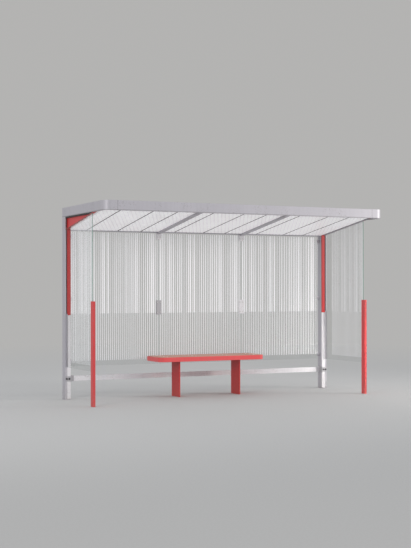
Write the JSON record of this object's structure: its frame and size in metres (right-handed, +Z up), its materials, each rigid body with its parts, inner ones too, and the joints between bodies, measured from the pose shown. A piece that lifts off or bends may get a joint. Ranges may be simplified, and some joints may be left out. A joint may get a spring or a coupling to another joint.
{
  "type": "bus shelter",
  "caption": "Open-fronted bus shelter with a level silver roof band, printed glass on the back and sides, short red front posts and a red-rimmed timber bench.",
  "frame": {"origin": "on the ground, under the middle of the overall length and of the overall depth", "axes": "+X along the length to the right end as a person facing the shelter sees it, +Y from the open front to the glass back wall, +Z up"},
  "size_m": [3.82, 1.485, 2.4],
  "materials": {
    "silver_paint": "satin silver-grey paint",
    "red_paint": "satin red paint, faded by the sun",
    "printed_glass": "toughened glass with white printed bars",
    "roof_sheet": "translucent white ribbed sheet",
    "timber": "oiled hardwood boards",
    "dark_fittings": "dark grey satin",
    "pale_fittings": "light grey satin"
  },
  "bodies": {
    "root": {"back_pane_centre": "printed_glass", "back_pane_left": "printed_glass", "back_pane_right": "printed_glass", "back_rail": "silver_paint", "bench_frame": "red_paint", "bench_seat": "timber", "front_band": "silver_paint", "left_bench_leg": "red_paint", "left_corner_band": "silver_paint", "left_front_post": "red_paint", "left_post_cover_lower": "silver_paint", "left_post_cover_upper": "red_paint", "left_rail_bracket": "dark_fittings", "left_rear_post": "silver_paint", "left_roof_edge": "silver_paint", "left_side_band": "silver_paint", "left_side_infill": "red_paint", "left_side_pane": "printed_glass", "mid_clamp_left": "pale_fittings", "mid_clamp_right": "pale_fittings", "rear_beam": "silver_paint", "right_bench_leg": "red_paint", "right_corner_band": "silver_paint", "right_front_post": "red_paint", "right_post_cover_lower": "silver_paint", "right_post_cover_upper": "red_paint", "right_rail_bracket": "dark_fittings", "right_rear_post": "silver_paint", "right_roof_edge": "silver_paint", "right_side_band": "silver_paint", "right_side_infill": "red_paint", "right_side_pane": "printed_glass", "roof_rib_left": "silver_paint", "roof_rib_right": "silver_paint", "roof_tray_1": "roof_sheet", "roof_tray_10": "roof_sheet", "roof_tray_2": "roof_sheet", "roof_tray_3": "roof_sheet", "roof_tray_4": "roof_sheet", "roof_tray_5": "roof_sheet", "roof_tray_6": "roof_sheet", "roof_tray_7": "roof_sheet", "roof_tray_8": "roof_sheet", "roof_tray_9": "roof_sheet", "top_clamp_left": "pale_fittings", "top_clamp_right": "pale_fittings"}
  },
  "joints": []
}
